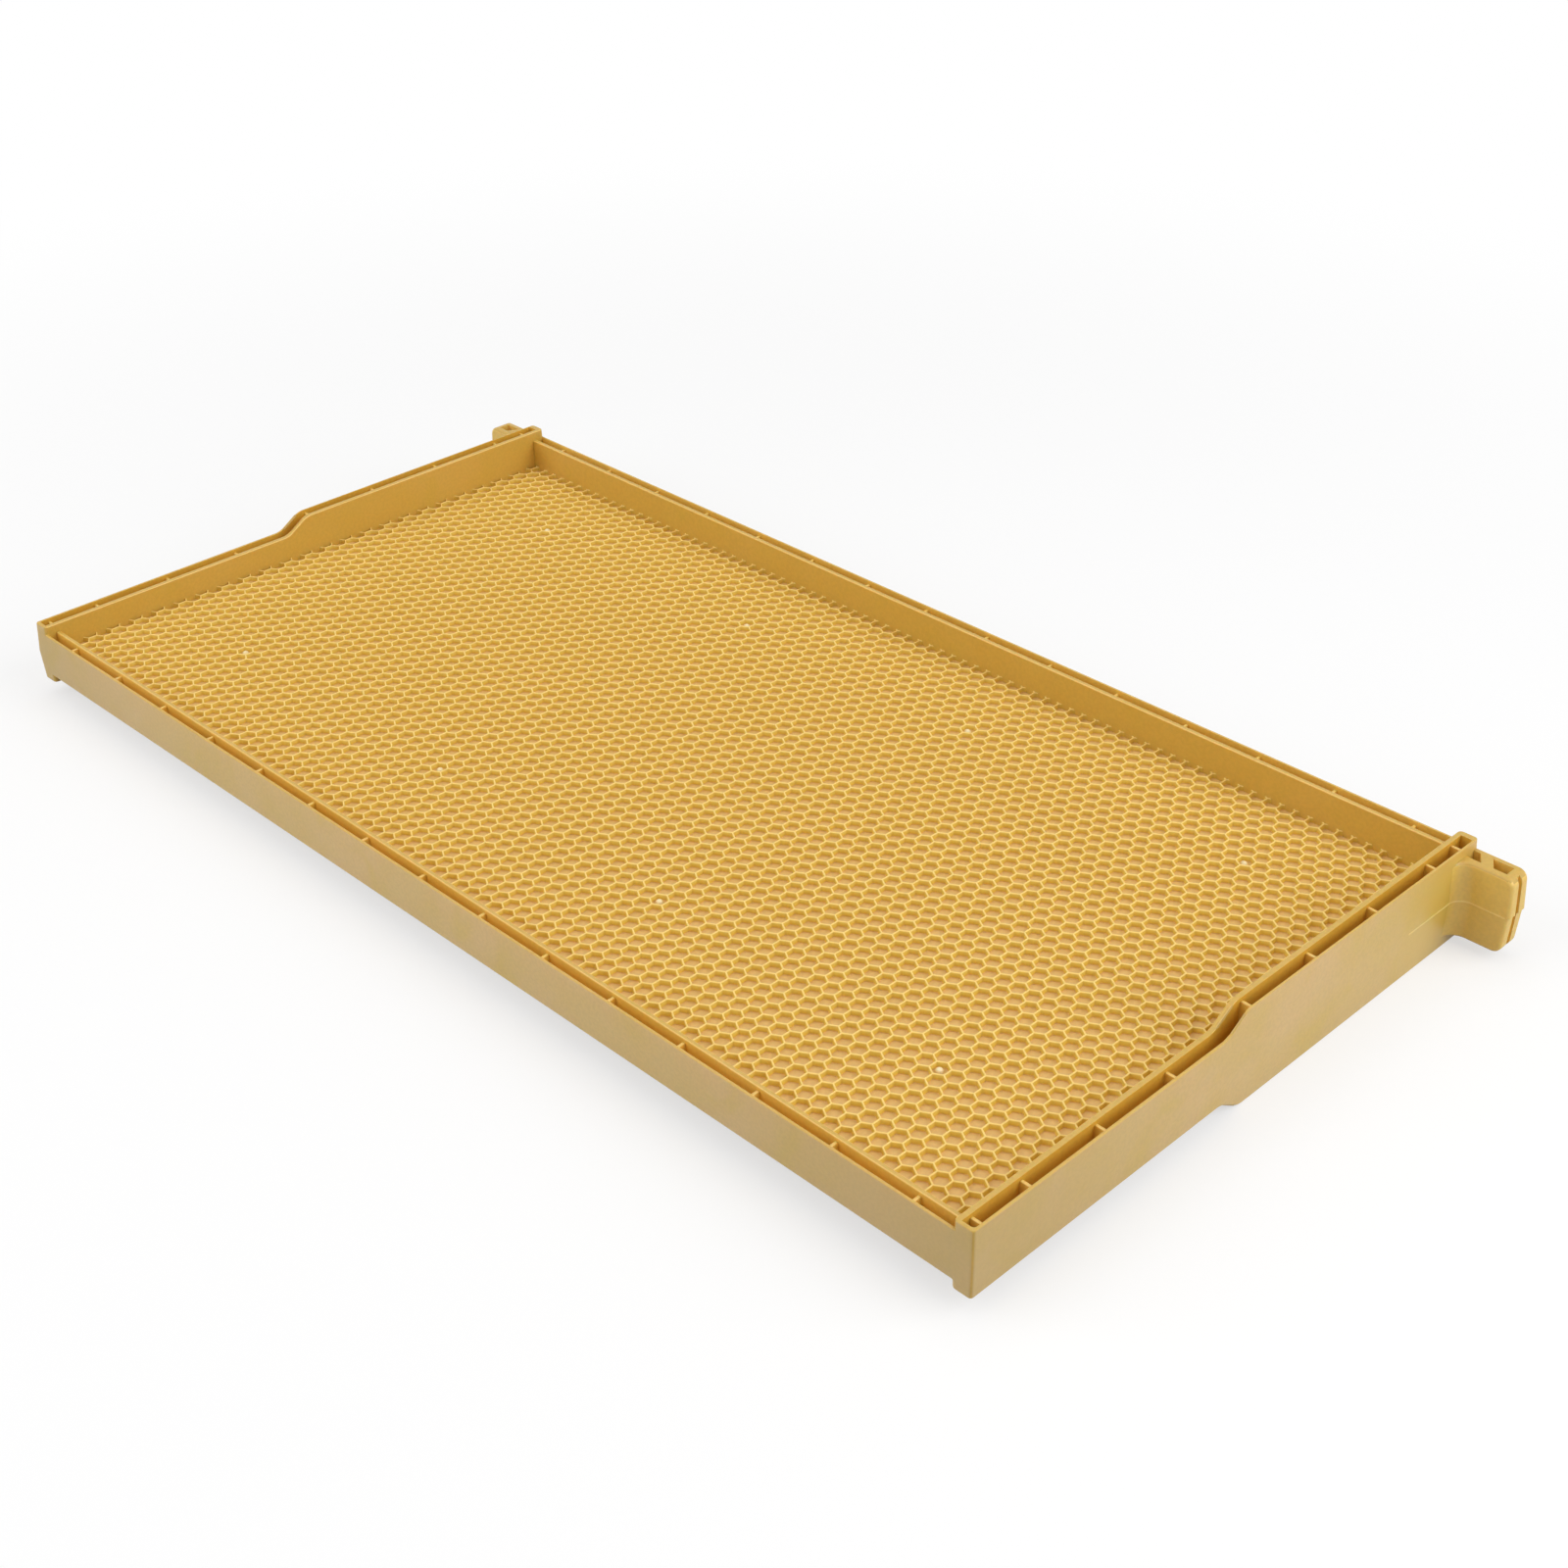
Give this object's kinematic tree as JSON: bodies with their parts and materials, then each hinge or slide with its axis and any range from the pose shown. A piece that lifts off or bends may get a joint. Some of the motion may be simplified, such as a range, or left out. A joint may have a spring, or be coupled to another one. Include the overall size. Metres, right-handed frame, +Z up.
{
  "type": "moulded hive frame with comb foundation",
  "caption": "One-piece moulded deep hive frame: ribbed channel bars, shouldered end bars and hanging lugs round a foundation sheet for honeycomb.",
  "frame": {"origin": "middle of the length and of the depth, on the plane that the shoulders rest on", "axes": "+X along the top bar, +Y from the bottom bar to the top bar, +Z up through the frame"},
  "size_m": [0.4824, 0.2314, 0.0338],
  "materials": {
    "comb_plastic": "satin, honey yellow"
  },
  "bodies": {
    "root": {"foundation_sheet": "comb_plastic", "front_comb_ridges": "comb_plastic", "back_comb_ridges": "comb_plastic", "top_bar_outer_wall": "comb_plastic", "top_bar_inner_wall": "comb_plastic", "top_bar_web": "comb_plastic", "top_bar_front_ribs": "comb_plastic", "top_bar_back_ribs": "comb_plastic", "bottom_bar_outer_wall": "comb_plastic", "bottom_bar_inner_wall": "comb_plastic", "bottom_bar_web": "comb_plastic", "bottom_bar_front_ribs": "comb_plastic", "bottom_bar_back_ribs": "comb_plastic", "left_end_bar_outer_wall": "comb_plastic", "left_end_bar_inner_wall": "comb_plastic", "left_end_bar_web": "comb_plastic", "left_end_bar_top_cap": "comb_plastic", "left_end_bar_bottom_cap": "comb_plastic", "left_end_bar_front_ribs": "comb_plastic", "left_end_bar_back_ribs": "comb_plastic", "right_end_bar_outer_wall": "comb_plastic", "right_end_bar_inner_wall": "comb_plastic", "right_end_bar_web": "comb_plastic", "right_end_bar_top_cap": "comb_plastic", "right_end_bar_bottom_cap": "comb_plastic", "right_end_bar_front_ribs": "comb_plastic", "right_end_bar_back_ribs": "comb_plastic", "left_lug_rest_flange": "comb_plastic", "left_lug_core": "comb_plastic", "left_lug_top_flange": "comb_plastic", "right_lug_rest_flange": "comb_plastic", "right_lug_core": "comb_plastic", "right_lug_top_flange": "comb_plastic"}
  },
  "joints": []
}
